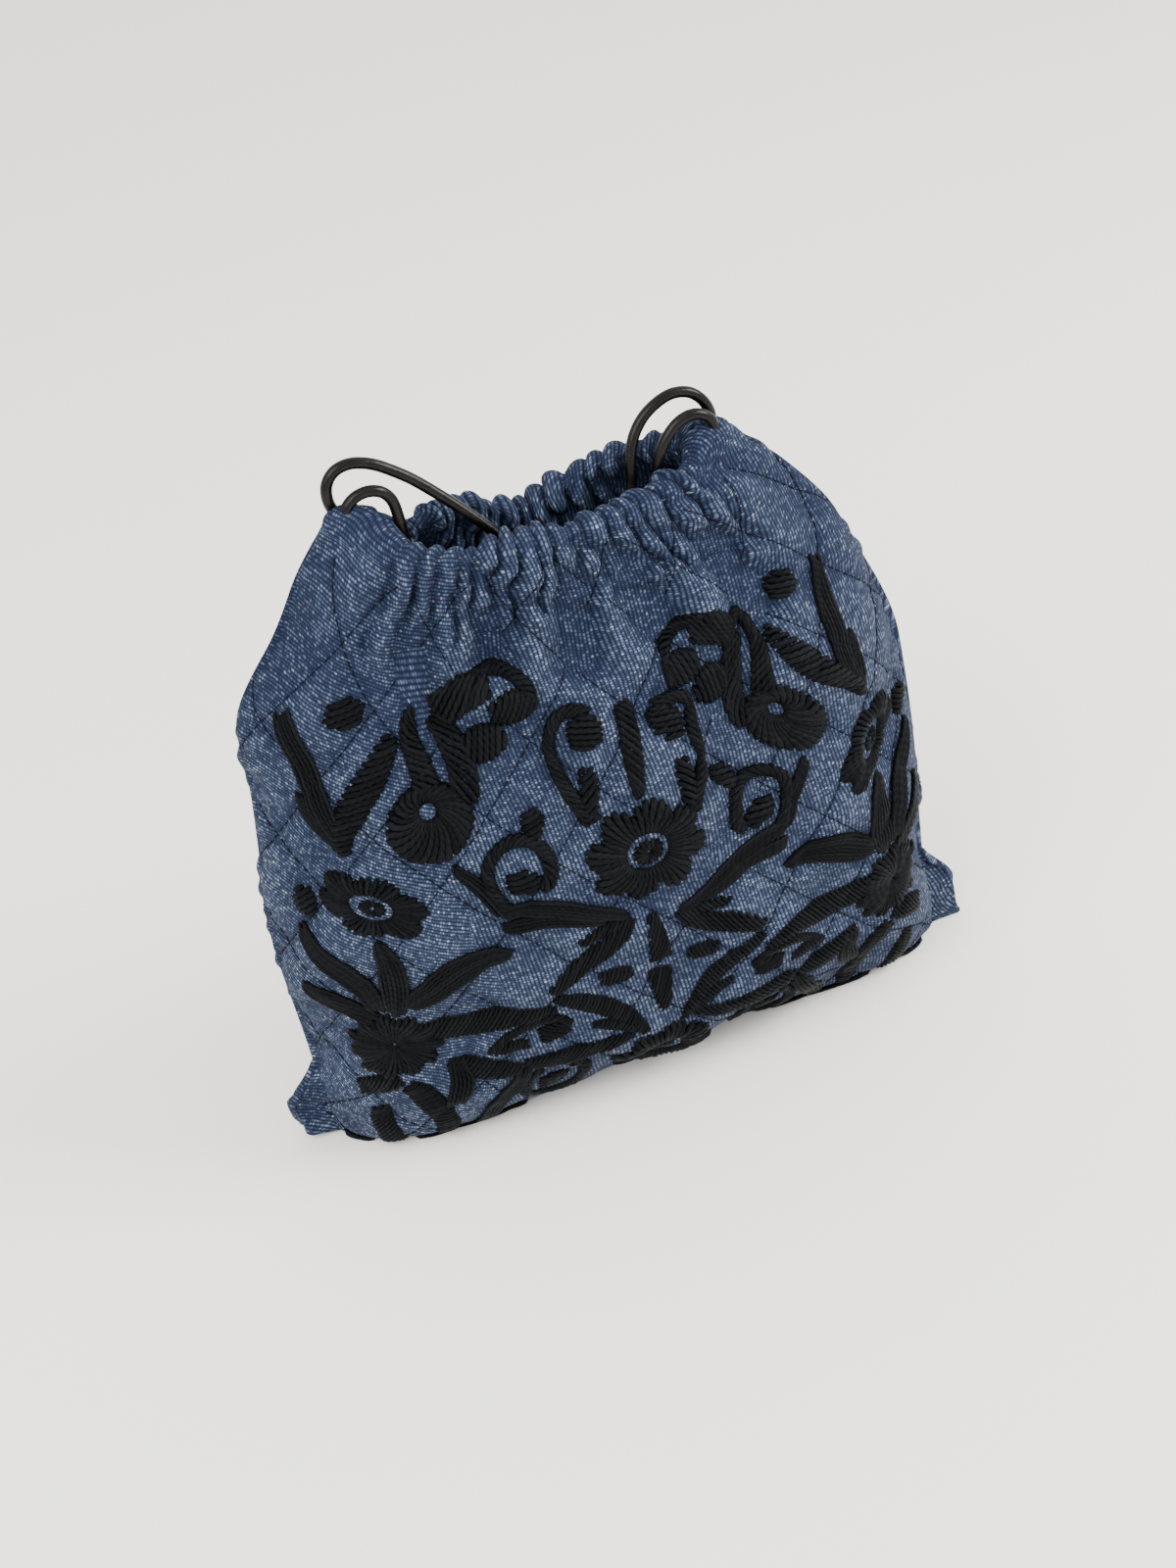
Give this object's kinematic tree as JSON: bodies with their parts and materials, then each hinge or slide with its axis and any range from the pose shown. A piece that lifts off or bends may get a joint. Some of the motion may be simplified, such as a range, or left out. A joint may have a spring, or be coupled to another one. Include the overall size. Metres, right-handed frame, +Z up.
{
  "type": "drawstring bag",
  "caption": "Small quilted denim drawstring bag with a gathered casing at the mouth, a round leather cord and raised floral yarn embroidery on the front.",
  "frame": {"origin": "centre of the flattened base, on the surface the bag stands on", "axes": "+Z up, -Y towards the embroidered front, +X to the right seen from the front"},
  "size_m": [0.2476, 0.088, 0.2314],
  "materials": {
    "denim": "matte quilted twill",
    "cord": "semi-gloss round cord"
  },
  "bodies": {
    "root": {"front_panel": "denim", "back_panel": "denim", "drawstring_front": "cord", "drawstring_back": "cord", "cord_loop_left": "cord", "cord_loop_right": "cord"}
  },
  "joints": []
}
